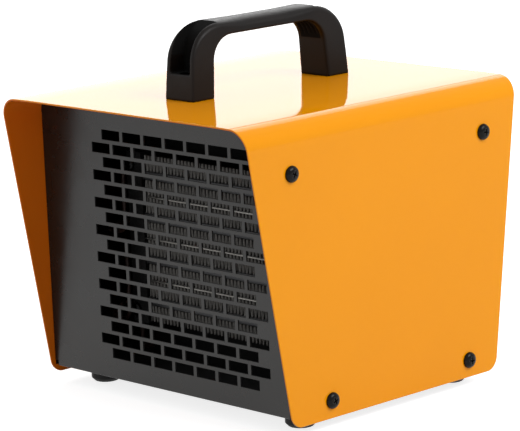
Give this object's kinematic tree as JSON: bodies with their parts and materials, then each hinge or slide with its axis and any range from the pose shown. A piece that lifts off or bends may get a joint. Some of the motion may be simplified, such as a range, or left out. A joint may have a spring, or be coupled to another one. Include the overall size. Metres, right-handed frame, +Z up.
{
  "type": "forced air heater",
  "caption": "Box-shaped ceramic fan heater: sheet casing over a black slotted chassis, bridge handle on top, rear controls, rubber feet.",
  "frame": {"origin": "on the floor under the middle of the bounding box, which is the middle of the flat top front to back and side to side", "axes": "+Z up; -Y to the front, where the slotted panel blows; +Y to the rear with the controls and the cord gland; +X to the side that is to the right when the front is seen"},
  "size_m": [0.2056, 0.211, 0.2138],
  "materials": {
    "orange_enamel": "glossy orange baked enamel on sheet steel",
    "black_enamel": "semi-gloss black baked enamel on sheet steel",
    "black_screw_paint": "black coated steel screws",
    "black_nylon": "fine-grained black nylon moulding",
    "black_rubber": "black rubber",
    "zinc_steel": "zinc plated steel",
    "fin_aluminium": "bright rolled aluminium strip",
    "dark_tube_aluminium": "dark coated aluminium tube",
    "heating_ceramic": "dark grey fired ceramic",
    "black_moulding": "black glass-filled moulding",
    "cast_aluminium": "black painted die casting",
    "motor_laminations": "stamped laminations",
    "copper": "enamelled copper winding",
    "sintered_bronze": "sintered bronze",
    "terminal_brass": "tinned brass",
    "brown_moulding": "brown phenolic moulding",
    "white_nylon": "natural nylon moulding",
    "wire_silicone": "dark brown silicone insulated wire"
  },
  "bodies": {
    "housing": {"air_duct": "black_enamel", "base_nuts": "zinc_steel", "base_screws": "zinc_steel", "block_screws": "zinc_steel", "casing_screws": "black_screw_paint", "clamp_screws": "terminal_brass", "cutout_screws": "zinc_steel", "cutout_terminals": "terminal_brass", "earth_nuts": "zinc_steel", "earth_stud": "zinc_steel", "fan_bearings": "sintered_bronze", "fan_frame": "cast_aluminium", "fan_nuts": "zinc_steel", "fan_screws": "zinc_steel", "fan_stator": "motor_laminations", "fan_windings": "copper", "foot_screws": "zinc_steel", "front_chassis": "black_enamel", "gland_body": "black_nylon", "gland_cap": "black_nylon", "gland_locknut": "black_nylon", "gland_seal": "black_rubber", "handle": "black_nylon", "handle_nuts": "zinc_steel", "handle_screws": "black_screw_paint", "handle_washers": "black_screw_paint", "heater_bracket": "black_enamel", "heater_nuts": "zinc_steel", "heater_screws": "black_screw_paint", "internal_wires": "wire_silicone", "outer_casing": "orange_enamel", "overheat_cutout": "brown_moulding", "ptc_electrodes": "terminal_brass", "ptc_end_frames": "black_moulding", "ptc_fins": "fin_aluminium", "ptc_joint_plates": "fin_aluminium", "ptc_stones": "heating_ceramic", "ptc_tubes": "dark_tube_aluminium", "rear_panel": "black_enamel", "rubber_feet": "black_rubber", "selector_screws": "zinc_steel", "selector_switch": "black_moulding", "selector_terminals": "terminal_brass", "terminal_block": "white_nylon", "thermostat_bimetal": "terminal_brass", "thermostat_body": "black_moulding", "thermostat_screws": "zinc_steel", "thermostat_terminals": "terminal_brass"},
    "impeller": {"fan_impeller": "black_moulding", "fan_shaft": "zinc_steel", "fan_rotor": "motor_laminations", "fan_shaft_clip": "zinc_steel"},
    "selector": {"selector_knob": "black_nylon", "selector_spindle": "zinc_steel"},
    "thermostat": {"thermostat_knob": "black_nylon", "thermostat_spindle": "zinc_steel"}
  },
  "joints": [
    {"name": "impeller_spin", "type": "hinge", "parent": "housing", "child": "impeller", "pos_m": [0.01311, 0.06, 0.08848], "axis": [0, 1, 0], "continuous": true},
    {"name": "selector_turn", "type": "hinge", "parent": "housing", "child": "selector", "pos_m": [-0.07284, 0.09, 0.088], "axis": [0, -1, 0], "range_deg": [0, 135]},
    {"name": "thermostat_turn", "type": "hinge", "parent": "housing", "child": "thermostat", "pos_m": [-0.07284, 0.09, 0.132], "axis": [0, -1, 0], "range_deg": [0, 270]}
  ]
}
